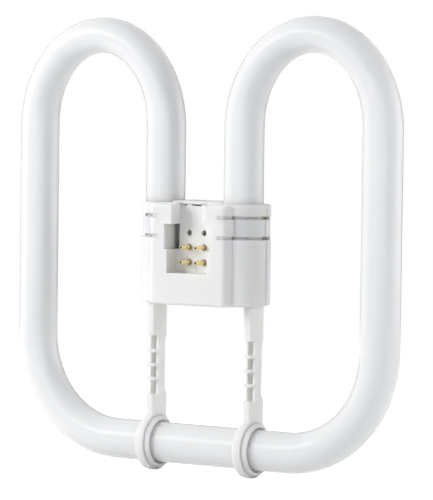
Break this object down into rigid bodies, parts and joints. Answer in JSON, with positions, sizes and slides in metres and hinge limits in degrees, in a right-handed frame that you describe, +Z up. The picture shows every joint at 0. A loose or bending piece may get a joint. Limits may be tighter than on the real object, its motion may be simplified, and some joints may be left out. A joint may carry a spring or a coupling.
{
  "type": "square compact fluorescent lamp",
  "caption": "Flat square fluorescent lamp: one opal glass tube bent into two hairpins with a base length, plug-in cap with recessed pins and two ringed support arms.",
  "frame": {"origin": "centre of the four contact pins, in the plane of the socket recess floor that they stand on", "axes": "-Y is the way the pins point, out of the socket recess; +Z runs up the two legs of the tube, away from the base length; X runs across the lamp, which is left-right symmetric"},
  "size_m": [0.205, 0.0278, 0.2087],
  "materials": {
    "opal_glass": "glossy opal white glass, phosphor coated inside, not see-through when unlit",
    "white_plastic": "satin white moulded plastic",
    "pin_brass": "bright turned brass",
    "lead_metal": "drawn nickel-iron wire"
  },
  "bodies": {
    "root": {"discharge_tube": "opal_glass", "front_housing": "white_plastic", "rear_cover": "white_plastic", "left_support_arm": "white_plastic", "right_support_arm": "white_plastic", "contact_pin_upper_left": "pin_brass", "contact_pin_upper_right": "pin_brass", "contact_pin_lower_left": "pin_brass", "contact_pin_lower_right": "pin_brass", "lead_wire_upper_left": "lead_metal", "lead_wire_upper_right": "lead_metal", "lead_wire_lower_left": "lead_metal", "lead_wire_lower_right": "lead_metal"}
  },
  "joints": []
}
